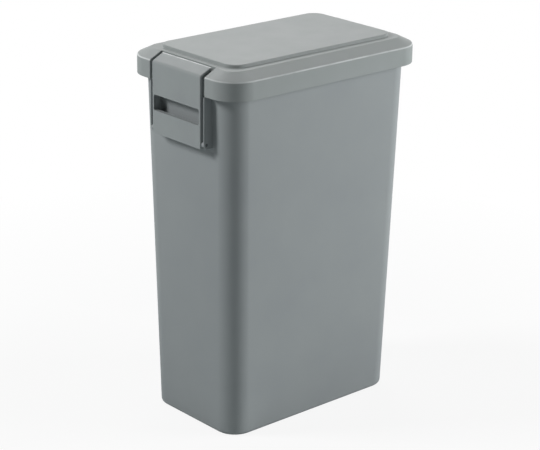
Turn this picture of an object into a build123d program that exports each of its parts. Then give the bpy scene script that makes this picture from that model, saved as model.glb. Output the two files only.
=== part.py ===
from build123d import *
import os
from math import atan, cos, degrees

# Slim rectangular lidded trash can, injection moulded in polypropylene.
# The lid drops over the rim of a tapering body and is held down at both narrow
# ends by a lock handle that is hinged between two cheeks of the body and hooks
# over the edge of the lid. Each handle is also the grip for carrying the bin.
# Millimetres. X runs along the bin, Y across it, Z up from the floor. The origin
# is the centre of the base. Pieces of an end are drawn for the +X end.

# Body, outside sizes at the mouth, and how far its walls lean in on their way
# down to the floor
body_height = 578.0
mouth_length = 371.0
mouth_width = 224.0
end_lean = 13.8
side_lean = 11.8
body_corner = 35.0
body_wall = 2.5
floor_thickness = 3.0
foot_edge_radius = 6.0
foot_ring_width = 20.0
foot_rise = 3.0
inner_floor_chamfer = 6.0

# Rim turned outwards round the mouth
rim_thickness = 2.8
rim_lip_height = 12.0
rim_lip_wall = 2.2
rim_corner_step = 7.0
rim_edge_chamfer = 0.8

# Lid, its overhang round the mouth, and the steps of its top
lid_overhang = 14.0
lid_corner_step = 10.0
lid_wall = 2.5
skirt_height = 29.5
skirt_top_above_rim = 6.0
slope_width = 22.5
slope_rise = 11.0
ledge_width = 12.5
panel_rise = 5.0
panel_corner = 22.0
panel_taper = 1.5
skirt_edge_chamfer = 1.5
slope_edge_radius = 3.0
panel_edge_chamfer = 1.0
lid_rim_gap = 1.5

# Ribs under the lid and the seal that they hold
locating_rib_depth = 12.0
locating_rib_wall = 2.0
locating_rib_gap = 1.5
seal_width = 5.0
seal_height = 5.0
seal_side_gap = 0.1
seal_rib_wall = 1.8
seal_rib_short = 1.5
seal_web = 2.0

# Seat sunk into each end of the lid, where a handle closes over it
seat_depth = 4.0
seat_side_gap = 7.2
seat_tip_gap = 3.5
rim_seat_gap = 2.5

# Lock handle
handle_width = 115.0
handle_proud = 1.5
handle_drop = 106.0
handle_depth = 13.0
handle_plate = 3.0
handle_flange_wall = 3.0
handle_seat_gap = 1.0
handle_floor_gap = 0.4
bend_above_skirt = 0.4
bend_radius = 5.0
hook_reach = 22.0
hook_bar = 4.5
hook_edge_radius = 1.2
handle_edge_radius = 1.6
flange_foot_radius = 6.0
slot_above_bottom = 36.0
slot_height = 25.0
slot_rail = 3.5
slot_corner = 3.0
slot_lip = 2.5
slot_lip_reach = 7.0

# Cheeks of the body that a handle swings between, and the hinge
cheek_wall = 2.5
cheek_skirt_gap = 1.5
cheek_corner = 8.0
cheek_edge_chamfer = 0.7
cheek_root = 8.0
boss_radius = 5.0
boss_side_gap = 0.5
pivot_behind_front = 6.5
pivot_above_bottom = 7.0
pin_diameter = 5.0
pin_clearance = 0.05
pin_short = 0.2
pin_chamfer = 0.5

# Outside of the lid's skirt
lid_length = mouth_length + 2 * lid_overhang
lid_width = mouth_width + 2 * lid_overhang
lid_corner = body_corner + lid_corner_step

# Heights that the pieces share
skirt_top = body_height + skirt_top_above_rim
skirt_bottom = skirt_top - skirt_height
ledge_top = skirt_top + slope_rise
panel_top = ledge_top + panel_rise
handle_bottom = body_height - handle_drop
handle_front = lid_length / 2 + handle_proud
handle_back = handle_front - handle_depth
handle_half = handle_width / 2

# Slope of the lid's edge, which the hook of a handle follows
slope_fall = slope_rise / slope_width
slope_cos = cos(atan(slope_fall))

# Pivot of a handle, in the X and Z of its end
pivot_x = handle_front - pivot_behind_front
pivot_z = handle_bottom + pivot_above_bottom
hole_radius = pin_diameter / 2 + pin_clearance

# Cheeks: flush with the lid's skirt and with the sides of its seat
cheek_front = lid_length / 2
cheek_top = skirt_bottom - cheek_skirt_gap
cheek_half = handle_half + seat_side_gap

# Rim outline: clear of the skirt along the sides and of the seats at the ends
rim_length = lid_length - 2 * (seat_depth + lid_wall + rim_seat_gap)
rim_width = lid_width - 2 * (lid_wall + lid_rim_gap)
rim_corner = body_corner + rim_corner_step


def rounded(length, width, corner, height):
    return Plane.XY.offset(height) * RectangleRounded(length, width, corner)


def prism(length, width, corner, low, high):
    return extrude(rounded(length, width, corner, low), amount=high - low)


def tapered(outline, tall, run):
    # Rises from an outline while its walls lean inwards by a run for each unit
    return extrude(outline, amount=tall, taper=degrees(atan(run)))


def block(low_x, high_x, half_y, low_z, high_z):
    size = (high_x - low_x, 2 * half_y, high_z - low_z)
    centre = ((low_x + high_x) / 2, 0, (low_z + high_z) / 2)
    return Pos(*centre) * Box(*size)


def across(outline, half_y):
    # Extrudes an outline of X and Z points to both sides of the middle
    return extrude(Plane.XZ * outline, amount=half_y, both=True)


def near(shape, x, z):
    # Corner of a flat outline nearest to a point
    return min(shape.vertices(), key=lambda v: abs(v.X - x) + abs(v.Y - z))


def body_form(low, high, inset):
    # Stretch of the body between two heights, its flat walls leaning outwards
    tall = high - low
    end_step = end_lean * tall / body_height
    side_step = side_lean * tall / body_height
    length = mouth_length - 2 * (inset + end_lean * (1 - high / body_height))
    width = mouth_width - 2 * (inset + side_lean * (1 - high / body_height))
    wedge = Wedge(length, tall, width, end_step, side_step, length - end_step, width - side_step)
    form = Pos(0, 0, (low + high) / 2) * Rot(-90, 0, 0) * wedge
    uprights = form.edges().filter_by(lambda e: e.bounding_box().size.Z > tall / 2)
    return fillet(uprights, body_corner - inset)


def body_hollow():
    hollow = body_form(foot_rise + floor_thickness, body_height + body_wall, body_wall)
    return chamfer(hollow.edges().group_by(Axis.Z)[0], inner_floor_chamfer)


def rim():
    top = prism(rim_length, rim_width, rim_corner, body_height - rim_lip_height, body_height)
    top = chamfer(top.edges().group_by(Axis.Z)[-1], rim_edge_chamfer)
    under = prism(
        rim_length - 2 * rim_lip_wall,
        rim_width - 2 * rim_lip_wall,
        rim_corner - rim_lip_wall,
        body_height - rim_lip_height,
        body_height - rim_thickness,
    )
    return top - under


def cheeks():
    # Pair of cheeks that stand out from an end wall, one at each side of the
    # handle, with bosses on their inner faces that keep the handle in the middle
    root = mouth_length / 2 - cheek_root
    inner_half = cheek_half - cheek_wall
    outline = Polyline(
        (root, handle_bottom),
        (cheek_front, handle_bottom),
        (cheek_front, cheek_top),
        (root, cheek_top),
        close=True,
    )
    outline = make_face(outline)
    outline = fillet(near(outline, cheek_front, handle_bottom), cheek_corner)
    pair = across(outline, cheek_half) - block(root - 1, handle_front, inner_half, handle_bottom, cheek_top)
    edges = pair.edges().filter_by(lambda e: e.bounding_box().size.Y < 0.01)
    edges = edges.filter_by(lambda e: e.center().X > root + 1)
    pair = chamfer(edges, cheek_edge_chamfer)
    bosses = across(Pos(pivot_x, pivot_z) * Circle(boss_radius), cheek_half - cheek_edge_chamfer)
    bosses -= block(root, handle_front, handle_half + boss_side_gap, handle_bottom, cheek_top)
    hole = Pos(pivot_x, 0, pivot_z) * Rot(90, 0, 0) * Cylinder(hole_radius, 2 * cheek_half + 1)
    return pair + bosses - hole


def bin_body():
    shell = body_form(0, body_height, 0)
    shell = fillet(shell.edges().group_by(Axis.Z)[0], foot_edge_radius)
    shell += rim()
    end = cheeks()
    shell += end
    shell += Rot(0, 0, 180) * end
    shell -= body_hollow()
    recess = prism(
        mouth_length - 2 * (end_lean + foot_ring_width),
        mouth_width - 2 * (side_lean + foot_ring_width),
        body_corner - foot_ring_width / 2,
        0,
        foot_rise,
    )
    recess = chamfer(recess.edges().group_by(Axis.Z)[-1], foot_rise / 2)
    return shell - recess


def lid_form(inset):
    # Outside of the lid, or the same form moved inwards by an even thickness
    edge_drop = inset * (1 / slope_cos - slope_fall)
    length = lid_length - 2 * inset
    width = lid_width - 2 * inset
    corner = lid_corner - inset
    edge = skirt_top - edge_drop
    ledge = ledge_top - inset
    form = prism(length, width, corner, skirt_bottom, edge)
    form += tapered(rounded(length, width, corner, edge), ledge - edge, slope_width / slope_rise)
    return form


def lid_panel(inset):
    # Raised middle of the lid
    length = lid_length - 2 * (slope_width + ledge_width + inset)
    width = lid_width - 2 * (slope_width + ledge_width + inset)
    corner = panel_corner - inset
    foot_length = length + 2 * panel_taper
    foot_width = width + 2 * panel_taper
    foot = rounded(foot_length, foot_width, corner + panel_taper, ledge_top - lid_wall)
    tall = panel_rise + lid_wall - inset
    return tapered(foot, tall, panel_taper / tall)


def ring(outset, wall, low, high):
    # Rib that runs round the lid, its inner face at a distance from the mouth's wall
    length = mouth_length - 2 * body_wall + 2 * outset
    width = mouth_width - 2 * body_wall + 2 * outset
    corner = body_corner - body_wall + outset
    outer = prism(length + 2 * wall, width + 2 * wall, corner + wall, low, high)
    return outer - prism(length, width, corner, low, high)


def lid_ribs():
    locating = -locating_rib_gap - locating_rib_wall
    web_bottom = body_height + seal_height
    outer_rib = -locating_rib_gap + seal_width
    ribs = ring(locating, locating_rib_wall, body_height - locating_rib_depth, ledge_top)
    ribs += ring(outer_rib, seal_rib_wall, body_height + seal_rib_short, ledge_top)
    ribs += ring(-locating_rib_gap, seal_width, web_bottom, web_bottom + seal_web)
    return ribs


def both_ends(shape):
    return shape + Rot(0, 0, 180) * shape


def lid():
    seat_half = handle_half + seat_side_gap
    seat_start = handle_front - hook_reach - seat_tip_gap
    above = panel_top + lid_wall
    outer = lid_form(0)
    outer = fillet(outer.edges().group_by(Axis.Z)[-1], slope_edge_radius)
    skirt_edges = outer.edges().filter_by(lambda e: abs(e.center().Z - skirt_top) < 0.01)
    skirt_edges = skirt_edges.filter_by(lambda e: abs(e.bounding_box().size.Z) < 0.01)
    outer = chamfer(skirt_edges, skirt_edge_chamfer)
    panel = lid_panel(0)
    panel = chamfer(panel.edges().group_by(Axis.Z)[-1], panel_edge_chamfer)
    outer += panel
    thick = block(seat_start - lid_wall, handle_front, seat_half + lid_wall, 0, above)
    thick = both_ends(thick)
    cavity = lid_form(lid_wall) + lid_panel(lid_wall)
    cavity = (cavity - thick) + (lid_form(lid_wall + seat_depth) & thick)
    solid = outer - cavity
    solid += lid_ribs() & outer
    seat = block(seat_start, handle_front, seat_half, 0, above) - lid_form(seat_depth)
    return solid - both_ends(seat)


def lid_seal():
    # Rubber ring pressed up into the groove under the lid, resting on the rim
    inner = -locating_rib_gap + seal_side_gap
    return ring(inner, seal_width - 2 * seal_side_gap, body_height, body_height + seal_height)


def hook_line(depth):
    # Two points of the hook's upper face, or of a line below it by a depth,
    # one at the front face and one at the tip
    tip_x = handle_front - hook_reach
    low_z = skirt_top + bend_above_skirt - depth / slope_cos
    return (handle_front, low_z), (tip_x, low_z + hook_reach * slope_fall)


def seat_line_height(x):
    # Underside of the hook: the floor of the lid's seat and a running gap
    floor = skirt_top + (lid_length / 2 - x) * slope_fall - seat_depth / slope_cos
    return floor + handle_floor_gap / slope_cos


def lock_handle():
    tip_x = handle_front - hook_reach
    upper_back = lid_length / 2 - seat_depth + handle_seat_gap
    step_top = skirt_bottom - handle_seat_gap
    step = upper_back - handle_back
    bend, tip = hook_line(0)
    outline = Polyline(
        (handle_front, handle_bottom),
        bend,
        tip,
        (tip_x, seat_line_height(tip_x)),
        (upper_back, seat_line_height(upper_back)),
        (upper_back, step_top),
        (handle_back, step_top - step),
        (handle_back, handle_bottom),
        close=True,
    )
    outline = make_face(outline)
    outline = fillet(near(outline, *bend), bend_radius)
    outline = fillet(near(outline, *tip), hook_edge_radius)
    outline = fillet(near(outline, handle_back, handle_bottom), flange_foot_radius)
    solid = across(outline, handle_half)
    side_edges = solid.edges().filter_by(lambda e: abs(abs(e.center().Y) - handle_half) < 0.01)
    side_edges = side_edges.filter_by(lambda e: is_handle_face(e.center()))
    solid = fillet(side_edges, handle_edge_radius)

    # Hollow back, which leaves the front plate, the hook's plate and bar, and
    # a flange down each side
    inner_bend, inner_tip = hook_line(handle_plate)
    plate_x = handle_front - handle_plate
    bar_x = tip_x + hook_bar
    drop = (handle_front - plate_x) * slope_fall
    low = handle_bottom - 1
    back = make_face(
        Polyline(
            (plate_x, low),
            (plate_x, inner_bend[1] + drop),
            (bar_x, inner_tip[1] - hook_bar * slope_fall),
            (bar_x, skirt_bottom),
            (handle_back - 1, skirt_bottom),
            (handle_back - 1, low),
            close=True,
        )
    )
    back = fillet(near(back, plate_x, inner_bend[1] + drop), bend_radius - handle_plate)
    solid -= across(back, handle_half - handle_flange_wall)

    # Finger slot with a lip along its top and bottom edges
    slot_bottom = handle_bottom + slot_above_bottom
    slot_top = slot_bottom + slot_height
    slot_half = handle_half - slot_rail
    lip_back = handle_front - slot_lip_reach
    flange_in = handle_half - handle_flange_wall
    solid += block(lip_back, plate_x + 0.1, flange_in + 0.1, slot_bottom - slot_lip, slot_bottom)
    solid += block(lip_back, plate_x + 0.1, flange_in + 0.1, slot_top, slot_top + slot_lip)
    slot_middle = (slot_bottom + slot_top) / 2
    slot = Plane.YZ * Pos(0, slot_middle) * RectangleRounded(2 * slot_half, slot_height, slot_corner)
    solid -= Pos(lip_back - 1, 0, 0) * extrude(slot, amount=slot_lip_reach + 2)

    hole = Pos(pivot_x, 0, pivot_z) * Rot(90, 0, 0) * Cylinder(hole_radius, handle_width + 2)
    return solid - hole


def is_handle_face(point):
    # Edges round the front of the plate and the top of the hook
    on_front = point.X > handle_front - bend_radius / 2 and point.Z > handle_bottom + 1
    on_top = point.Z > skirt_top + bend_above_skirt + 1
    return on_front or on_top


def hinge_pin():
    rod = Cylinder(pin_diameter / 2, 2 * (cheek_half - pin_short))
    rod = chamfer(rod.edges().filter_by(GeomType.CIRCLE), pin_chamfer)
    return Pos(pivot_x, 0, pivot_z) * Rot(90, 0, 0) * rod


def save(shape, name):
    os.makedirs("parts", exist_ok=True)
    solids = shape.solids()
    shape = solids[0] if len(solids) == 1 else Compound(children=list(solids))
    shape.label = name
    export_step(shape, "parts/" + name + ".step")


half_turn = Rot(0, 0, 180)
handle = lock_handle()
pin = hinge_pin()
save(bin_body(), "bin_body")
save(lid(), "lid")
save(lid_seal(), "lid_seal")
save(handle, "lock_handle_right")
save(half_turn * handle, "lock_handle_left")
save(pin, "hinge_pin_right")
save(half_turn * pin, "hinge_pin_left")
print("lid top above the floor", round(panel_top, 1), "mm; slope", round(degrees(atan(slope_fall)), 1))
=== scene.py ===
import math

import bmesh
import bpy
from mathutils import Matrix, Vector


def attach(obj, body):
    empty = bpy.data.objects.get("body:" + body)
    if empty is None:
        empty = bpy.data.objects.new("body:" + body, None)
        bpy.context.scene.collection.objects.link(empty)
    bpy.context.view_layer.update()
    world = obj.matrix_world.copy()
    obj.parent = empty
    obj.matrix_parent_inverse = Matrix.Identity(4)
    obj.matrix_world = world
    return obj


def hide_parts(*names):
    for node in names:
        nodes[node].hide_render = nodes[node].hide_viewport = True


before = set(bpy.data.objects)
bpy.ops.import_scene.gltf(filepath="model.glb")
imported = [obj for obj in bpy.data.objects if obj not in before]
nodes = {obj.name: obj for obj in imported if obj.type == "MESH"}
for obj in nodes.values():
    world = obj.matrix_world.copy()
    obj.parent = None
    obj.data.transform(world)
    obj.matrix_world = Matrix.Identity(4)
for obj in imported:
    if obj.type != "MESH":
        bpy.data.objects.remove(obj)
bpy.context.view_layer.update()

# Slim grey waste bin of moulded polypropylene with a lid that two lock handles
# hold down. Metres, Z up, the narrow end with the near handle towards -X.

print("frame loaded:", len(nodes), "pieces")


# Small helpers

def linearColour(hexCode):
    # sRGB hex to the linear values that a shader takes
    channels = [int(hexCode[i:i + 2], 16) / 255 for i in (1, 3, 5)]
    lifted = [c / 12.92 if c <= 0.04045 else ((c + 0.055) / 1.055) ** 2.4 for c in channels]
    return (*lifted, 1.0)


def addNode(tree, kind, settings):
    # A number names an input by its place, a name that isn't an input is a
    # property, and a socket is linked
    node = tree.nodes.new(kind)
    for name, value in settings.items():
        if not isinstance(name, int) and name not in node.inputs:
            setattr(node, name, value)
        elif isinstance(value, bpy.types.NodeSocket):
            tree.links.new(value, node.inputs[name])
        else:
            node.inputs[name].default_value = value
    return node


def newMaterial(name):
    material = bpy.data.materials.new(name)
    material.use_nodes = True
    material.node_tree.nodes.clear()
    return material, material.node_tree


def objectPlace(tree):
    return addNode(tree, "ShaderNodeTexCoord", {}).outputs["Object"]


def noise(tree, place, size, detail, roughness=0.5):
    return addNode(tree, "ShaderNodeTexNoise", {
        "Vector": place, "Scale": 1 / size, "Detail": detail, "Roughness": roughness,
    }).outputs["Fac"]


def remap(tree, value, fromRange, toRange=(0.0, 1.0)):
    return addNode(tree, "ShaderNodeMapRange", {
        "Value": value, "From Min": fromRange[0], "From Max": fromRange[1],
        "To Min": toRange[0], "To Max": toRange[1],
    }).outputs["Result"]


def compute(tree, operation, first, *second):
    settings = {"operation": operation, 0: first}
    if second:
        settings[1] = second[0]
    return addNode(tree, "ShaderNodeMath", settings).outputs[0]


def mixColour(tree, share, first, second):
    # The colour sockets of a Mix node are inputs 6 and 7 and output 2
    return addNode(tree, "ShaderNodeMix", {
        "data_type": "RGBA", 0: share, 6: first, 7: second,
    }).outputs[2]


def bump(tree, height, depth, over=None):
    settings = {"Strength": 1.0, "Distance": depth, "Height": height}
    if over:
        settings["Normal"] = over
    return addNode(tree, "ShaderNodeBump", settings).outputs["Normal"]


# Materials

bodyPlastic = {
    "name": "PolypropyleneInjectionMouldedBody",
    "colour": "#9DA2A3",
    "cloudColour": "#999EA0",
    "rubColour": "#A9ADAE",
    "roughness": 0.46,
    "roughnessSpread": 0.06,
    "cloudSize": 0.110,
    "grainSize": 0.0011,
    "grainDepth": 0.000022,
    "wavinessSize": 0.16,
    "wavinessDepth": 0.00035,
    "rubLength": 0.060,
    "rubWidth": 0.0016,
    "rubShare": 0.30,
}

lidPlastic = {
    "name": "PolypropyleneInjectionMouldedLid",
    "colour": "#9EA3A3",
    "cloudColour": "#9AA09F",
    "rubColour": "#ADB1B0",
    "roughness": 0.44,
    "roughnessSpread": 0.07,
    "cloudSize": 0.090,
    "grainSize": 0.0010,
    "grainDepth": 0.000020,
    "wavinessSize": 0.13,
    "wavinessDepth": 0.00028,
    "rubLength": 0.034,
    "rubWidth": 0.0012,
    "rubShare": 0.36,
    # The last five entries paint a highlight into the colour: a pale line along the edge
    # between the lid's slope and its skirt
    "highlightAxis": "Z",
    "highlightPlace": 0.5836,
    "highlightHalf": 0.0013,
    "highlightBeyond": 0.0648,
    "paintedHighlightColour": "#D8DCDC",
}

handlePlastic = {
    "name": "PolypropyleneInjectionMouldedHandle",
    "colour": "#9CA2A2",
    "cloudColour": "#989D9E",
    "rubColour": "#ABAFAF",
    "roughness": 0.42,
    "roughnessSpread": 0.08,
    "cloudSize": 0.050,
    "grainSize": 0.0009,
    "grainDepth": 0.000018,
    "wavinessSize": 0.07,
    "wavinessDepth": 0.00012,
    "rubLength": 0.018,
    "rubWidth": 0.0009,
    "rubShare": 0.42,
    # The last five entries paint a highlight into the colour: a pale line along the tip of
    # each hook
    "highlightAxis": "X",
    "highlightPlace": 0.1805,
    "highlightHalf": 0.0019,
    "highlightBeyond": -1.0,
    "paintedHighlightColour": "#DCE0E0",
}

# What the three mouldings have in common
moulding = {
    "ior": 1.49,
    "cloudDetail": 3.0,
    "cloudRoughness": 0.55,
    "cloudRange": (0.32, 0.68),
    "hairlineDetail": 1.0,
    "hairlineRange": (0.70, 0.78),
    "patchesPerCloud": 2.4,
    "patchDetail": 2.0,
    "patchRange": (0.52, 0.66),
    "glossRange": (0.3, 0.7),
    "grainDetail": 1.5,
    # The last three set the patches and the strength of the painted edge highlights
    "highlightDetail": 2.0,
    "highlightRange": (0.3, 0.6),
    "highlightShare": (0.55, 1.0),
}


def paintedHighlightEdge(tree, place, skin, finish):
    # A painted highlight: a pale line drawn into the colour along an edge, where a lamp's
    # highlight would lie. The edges are the one between the lid's slope and its skirt,
    # outside the two seats, and the tip of a hook. It lies at one distance along one axis,
    # and further out along Y than a given reach.
    parts = addNode(tree, "ShaderNodeSeparateXYZ", {"Vector": place})
    reach = compute(tree, "ABSOLUTE", parts.outputs[finish["highlightAxis"]])
    away = compute(tree, "ABSOLUTE", compute(tree, "SUBTRACT", reach, finish["highlightPlace"]))
    near = remap(tree, away, (finish["highlightHalf"], finish["highlightHalf"] / 2))
    across = compute(tree, "ABSOLUTE", parts.outputs["Y"])
    outside = compute(tree, "GREATER_THAN", across, finish["highlightBeyond"])
    patches = noise(tree, place, finish["rubLength"], moulding["highlightDetail"])
    share = remap(tree, patches, moulding["highlightRange"], moulding["highlightShare"])
    highlighted = compute(tree, "MULTIPLY", compute(tree, "MULTIPLY", near, outside), share)
    return mixColour(tree, highlighted, skin, linearColour(finish["paintedHighlightColour"]))


def mouldedPolypropylene(finish, along):
    # Polypropylene from a fine spark-eroded mould: an even satin with faint
    # clouding, a slow waviness in the highlights and a few paler rubbed hairlines.
    # The real grain is about 0.2 mm, drawn coarser so that it shows at all.
    material, tree = newMaterial(finish["name"])
    place = objectPlace(tree)
    cloud = noise(tree, place, finish["cloudSize"], moulding["cloudDetail"],
                  moulding["cloudRoughness"])
    tint = mixColour(tree, remap(tree, cloud, moulding["cloudRange"]),
                     linearColour(finish["colour"]), linearColour(finish["cloudColour"]))

    # Rubbed hairlines lie along one direction of the piece, in patches
    stretch = [1 / finish["rubWidth"]] * 3
    stretch[along] = 1 / finish["rubLength"]
    stretched = addNode(tree, "ShaderNodeMapping", {"Vector": place, "Scale": stretch})
    streaks = noise(tree, stretched.outputs["Vector"], 1.0, moulding["hairlineDetail"])
    hairline = remap(tree, streaks, moulding["hairlineRange"])
    patch = noise(tree, place, finish["cloudSize"] / moulding["patchesPerCloud"],
                  moulding["patchDetail"])
    where = remap(tree, patch, moulding["patchRange"], (0.0, finish["rubShare"]))
    skin = mixColour(tree, compute(tree, "MULTIPLY", hairline, where), tint,
                     linearColour(finish["rubColour"]))
    # Some pieces get a painted highlight, a pale line along one edge
    if "highlightAxis" in finish:
        skin = paintedHighlightEdge(tree, place, skin, finish)

    low = finish["roughness"] - finish["roughnessSpread"] / 2
    gloss = remap(tree, patch, moulding["glossRange"], (low, low + finish["roughnessSpread"]))
    grain = noise(tree, place, finish["grainSize"], moulding["grainDetail"])
    waviness = noise(tree, place, finish["wavinessSize"], 0.0)
    slow = bump(tree, waviness, finish["wavinessDepth"])
    surface = addNode(tree, "ShaderNodeBsdfPrincipled", {
        "IOR": moulding["ior"], "Base Color": skin, "Roughness": gloss,
        "Normal": bump(tree, grain, finish["grainDepth"], slow),
    })
    addNode(tree, "ShaderNodeOutputMaterial", {"Surface": surface.outputs["BSDF"]})
    return material


sealRubber = {
    "name": "ThermoplasticRubberExtrudedSeal",
    "colour": "#3B3D3E",
    "dustColour": "#5A5C5C",
    "ior": 1.5,
    "roughness": 0.72,
    "dustSize": 0.006,
    "dustDetail": 3.0,
    "dustRange": (0.52, 0.75),
    "dustShare": (0.0, 0.6),
    "pitSize": 0.0015,
    "pitDetail": 2.0,
    "pitDepth": 0.00006,
}


def extrudedRubber(finish):
    # Soft dark rubber, dull all over, with a little pale dust in its pits
    material, tree = newMaterial(finish["name"])
    place = objectPlace(tree)
    dust = noise(tree, place, finish["dustSize"], finish["dustDetail"])
    tint = mixColour(tree, remap(tree, dust, finish["dustRange"], finish["dustShare"]),
                     linearColour(finish["colour"]), linearColour(finish["dustColour"]))
    pits = noise(tree, place, finish["pitSize"], finish["pitDetail"])
    surface = addNode(tree, "ShaderNodeBsdfPrincipled", {
        "IOR": finish["ior"], "Roughness": finish["roughness"], "Base Color": tint,
        "Normal": bump(tree, pits, finish["pitDepth"]),
    })
    addNode(tree, "ShaderNodeOutputMaterial", {"Surface": surface.outputs["BSDF"]})
    return material


pinPlastic = {
    "name": "AcetalTurnedPin",
    "colour": "#5E6365",
    "wornColour": "#767B7C",
    "ior": 1.48,
    "roughness": 0.32,
    "ringScale": 62.5,
    "ringWander": 0.4,
    "ringDepth": 0.00002,
    "wearSize": 1 / 260,
    "wearDetail": 2.0,
    "wearRange": (0.5, 0.7),
}


def turnedAcetal(finish):
    # Hard smooth plastic rod with faint rings along it, a little polished. A wave
    # texture's bands are 0.314 divided by its scale apart, so these are 5 mm.
    material, tree = newMaterial(finish["name"])
    place = objectPlace(tree)
    rings = addNode(tree, "ShaderNodeTexWave", {
        "Vector": place, "Scale": finish["ringScale"], "bands_direction": "Y",
        "Distortion": finish["ringWander"],
    })
    wear = noise(tree, place, finish["wearSize"], finish["wearDetail"])
    tint = mixColour(tree, remap(tree, wear, finish["wearRange"]),
                     linearColour(finish["colour"]), linearColour(finish["wornColour"]))
    surface = addNode(tree, "ShaderNodeBsdfPrincipled", {
        "IOR": finish["ior"], "Roughness": finish["roughness"], "Base Color": tint,
        "Normal": bump(tree, rings.outputs["Fac"], finish["ringDepth"]),
    })
    addNode(tree, "ShaderNodeOutputMaterial", {"Surface": surface.outputs["BSDF"]})
    return material


alongX, alongY, alongZ = 0, 1, 2
bodySkin = mouldedPolypropylene(bodyPlastic, alongZ)
lidSkin = mouldedPolypropylene(lidPlastic, alongX)
handleSkin = mouldedPolypropylene(handlePlastic, alongY)
sealSkin = extrudedRubber(sealRubber)
pinSkin = turnedAcetal(pinPlastic)
print("materials made")


# Pieces

edgeFinish = {
    "mergeWithin": 0.000002,
    "flatWithin": 0.25,
    "edgeAngle": 28.0,
    "segments": 3,
    "evenWeight": 100,
    "bodyRadius": 0.0005,
    "lidRadius": 0.0005,
    "sealRadius": 0.0006,
    "handleRadius": 0.0004,
    "pinRadius": 0.0,
}


def mouldedCopy(node, name, body, skin, edgeRadius):
    # Takes a node's loose triangles as one closed skin, melts the triangles of
    # each flat face together and rounds what the mould leaves nearly sharp
    form = bmesh.new()
    form.from_mesh(nodes[node].data)
    bmesh.ops.remove_doubles(form, verts=form.verts, dist=edgeFinish["mergeWithin"])
    bmesh.ops.dissolve_limit(form, angle_limit=math.radians(edgeFinish["flatWithin"]),
                             verts=form.verts, edges=form.edges, delimit={"NORMAL"})
    for face in form.faces:
        face.smooth = True
    mesh = bpy.data.meshes.new(name)
    form.to_mesh(mesh)
    form.free()
    mesh.materials.clear()
    mesh.materials.append(skin)
    piece = bpy.data.objects.new(name, mesh)
    bpy.context.scene.collection.objects.link(piece)
    if edgeRadius:
        rounding = piece.modifiers.new("MouldEdgeRadius", "BEVEL")
        rounding.width = edgeRadius
        rounding.segments = edgeFinish["segments"]
        rounding.limit_method = "ANGLE"
        rounding.angle_limit = math.radians(edgeFinish["edgeAngle"])
        rounding.use_clamp_overlap = True
        rounding.miter_outer = "MITER_ARC"
        rounding.harden_normals = False
    evening = piece.modifiers.new("EvenShading", "WEIGHTED_NORMAL")
    evening.weight = edgeFinish["evenWeight"]
    evening.keep_sharp = True
    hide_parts(node)
    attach(piece, body)


mouldedCopy("bin_body", "BinBodyMoulding", "body", bodySkin,
            edgeFinish["bodyRadius"])
mouldedCopy("lid", "LidMoulding", "lid", lidSkin, edgeFinish["lidRadius"])
mouldedCopy("lid_seal", "LidSealRing", "lid", sealSkin, edgeFinish["sealRadius"])
mouldedCopy("lock_handle_right", "LockHandleRight", "handle_right", handleSkin,
            edgeFinish["handleRadius"])
mouldedCopy("lock_handle_left", "LockHandleLeft", "handle_left", handleSkin,
            edgeFinish["handleRadius"])
mouldedCopy("hinge_pin_right", "HingePinRight", "body", pinSkin,
            edgeFinish["pinRadius"])
mouldedCopy("hinge_pin_left", "HingePinLeft", "body", pinSkin,
            edgeFinish["pinRadius"])
print("pieces dressed")


# Studio: a pale floor, a soft light high behind the bin and one at each side of the view

cameraView = {
    "azimuth": -41.63,
    "elevation": 19.84,
    "roll": 0.75,
    "place": (-1.8868, -2.1125, 1.3125),
    "lens": 124.83,
    "shift": (0.0, 0.0),
    "sensorWidth": 36.0,
    "farthest": 50.0,
}

studioLight = {
    "top": {
        "place": (0.8, 1.35, 2.05), "aim": (0.0, 0.0, 0.60), "size": (1.5, 1.2),
        "power": 13.5, "glossy": True,
    },
    "left": {
        "place": (-2.4, 1.65, 2.35), "aim": (0.0, 0.0, 0.45), "size": (0.9, 0.9),
        "power": 81.0, "glossy": False,
    },
    "right": {
        "place": (2.1, -1.95, 1.05), "aim": (0.0, 0.0, 0.32), "size": (1.5, 1.3),
        "power": 77.0, "glossy": False,
    },
}

backdropLight = 0.01

floorFinish = {
    "name": "PaintedStudioFloorMatt",
    "colour": "#E9EAEA",
    "bounceColour": "#D0D7D8",
    "mottleSize": 1 / 3,
    "mottleDetail": 2.0,
    "paintRoughness": (0.62, 0.70),
    "reach": 4.0,
    "squares": 24,
    "shadowReach": 0.45,
    "whiteFrom": 1.1,
    "nearWhite": 0.88,
}


def lookFrom(azimuth, elevation, roll, place):
    # Camera matrix for a view direction given by azimuth, elevation and roll
    turn, tilt, lean = (math.radians(a) for a in (azimuth, elevation, roll))
    ahead = Vector((-math.sin(turn) * math.cos(tilt), math.cos(turn) * math.cos(tilt),
                    -math.sin(tilt)))
    side = Vector((math.cos(turn), math.sin(turn), 0.0))
    above = side.cross(ahead)
    right = math.cos(lean) * side + math.sin(lean) * above
    up = -math.sin(lean) * side + math.cos(lean) * above
    turned = Matrix((right, up, -ahead)).transposed().to_4x4()
    return Matrix.Translation(place) @ turned


def addCamera(view):
    data = bpy.data.cameras.new("PhotoCamera")
    data.sensor_width = view["sensorWidth"]
    data.sensor_fit = "HORIZONTAL"
    data.lens = view["lens"]
    data.shift_x, data.shift_y = view["shift"]
    data.clip_end = view["farthest"]
    camera = bpy.data.objects.new("PhotoCamera", data)
    camera.matrix_world = lookFrom(view["azimuth"], view["elevation"], view["roll"],
                                   view["place"])
    bpy.context.scene.collection.objects.link(camera)
    bpy.context.scene.camera = camera


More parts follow.
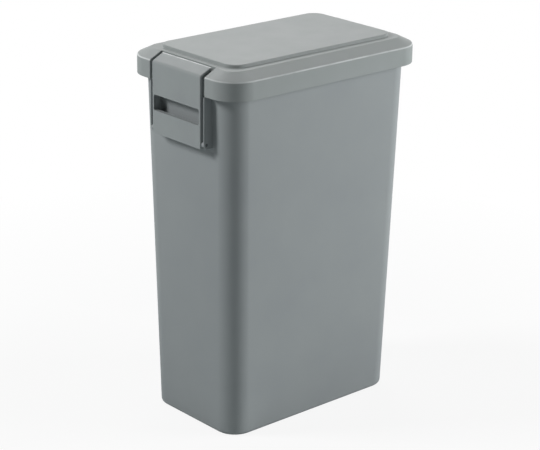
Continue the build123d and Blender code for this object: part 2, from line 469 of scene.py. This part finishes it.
def addSoftLight(name, lamp):
    # The strong side lamps stay out of reflections, where their glare would wash out
    # the flat lid in views from the far side
    data = bpy.data.lights.new(name, "AREA")
    data.shape = "RECTANGLE"
    data.size, data.size_y = lamp["size"]
    data.energy = lamp["power"]
    light = bpy.data.objects.new(name, data)
    light.visible_glossy = lamp["glossy"]
    aim = Vector(lamp["aim"]) - Vector(lamp["place"])
    turned = aim.to_track_quat("-Z", "Y").to_matrix().to_4x4()
    light.matrix_world = Matrix.Translation(lamp["place"]) @ turned
    bpy.context.scene.collection.objects.link(light)


def addFloor(finish):
    # White to the camera so that it meets the backdrop, greyer for the light that
    # it throws back. Near the bin it keeps part of its own shading, and so the shadow.
    form = bmesh.new()
    bmesh.ops.create_grid(form, x_segments=finish["squares"], y_segments=finish["squares"],
                          size=finish["reach"])
    mesh = bpy.data.meshes.new("StudioFloor")
    form.to_mesh(mesh)
    form.free()
    floor = bpy.data.objects.new("StudioFloor", mesh)
    bpy.context.scene.collection.objects.link(floor)
    material, tree = newMaterial(finish["name"])
    ray = addNode(tree, "ShaderNodeLightPath", {})
    place = objectPlace(tree)
    mottle = noise(tree, place, finish["mottleSize"], finish["mottleDetail"])
    paint = remap(tree, mottle, (0.0, 1.0), finish["paintRoughness"])
    seen = addNode(tree, "ShaderNodeBsdfDiffuse", {"Color": linearColour(finish["colour"])})
    bounce = addNode(tree, "ShaderNodeBsdfDiffuse", {
        "Color": linearColour(finish["bounceColour"]), "Roughness": paint,
    })
    white = addNode(tree, "ShaderNodeEmission", {"Strength": 1.0})
    away = addNode(tree, "ShaderNodeVectorMath", {"operation": "LENGTH", 0: place})
    whiter = remap(tree, away.outputs["Value"], (finish["shadowReach"], finish["whiteFrom"]),
                   (finish["nearWhite"], 1.0))
    shown = addNode(tree, "ShaderNodeMixShader", {
        0: whiter, 1: seen.outputs[0], 2: white.outputs[0],
    })
    surface = addNode(tree, "ShaderNodeMixShader", {
        0: ray.outputs["Is Camera Ray"], 1: bounce.outputs[0], 2: shown.outputs[0],
    })
    addNode(tree, "ShaderNodeOutputMaterial", {"Surface": surface.outputs[0]})
    mesh.materials.append(material)


def addBackdrop(strength):
    # The world is white where it is looked at and dim where it lights the bin
    world = bpy.data.worlds.new("StudioBackdrop")
    world.use_nodes = True
    tree = world.node_tree
    tree.nodes.clear()
    ray = addNode(tree, "ShaderNodeLightPath", {}).outputs
    glossy = compute(tree, "MAXIMUM", ray["Is Camera Ray"], ray["Is Glossy Ray"])
    looked = compute(tree, "MAXIMUM", glossy, ray["Is Transmission Ray"])
    white = (1.0, 1.0, 1.0, 1.0)
    dim = addNode(tree, "ShaderNodeBackground", {"Color": white, "Strength": strength})
    bright = addNode(tree, "ShaderNodeBackground", {"Color": white, "Strength": 1.0})
    sky = addNode(tree, "ShaderNodeMixShader", {
        0: looked, 1: dim.outputs[0], 2: bright.outputs[0],
    })
    addNode(tree, "ShaderNodeOutputWorld", {"Surface": sky.outputs[0]})
    bpy.context.scene.world = world


bpy.context.scene.view_settings.view_transform = "Standard"
addCamera(cameraView)
for lampName, lampValues in studioLight.items():
    addSoftLight(lampName + "Softbox", lampValues)
addFloor(floorFinish)
addBackdrop(backdropLight)
print("studio set")
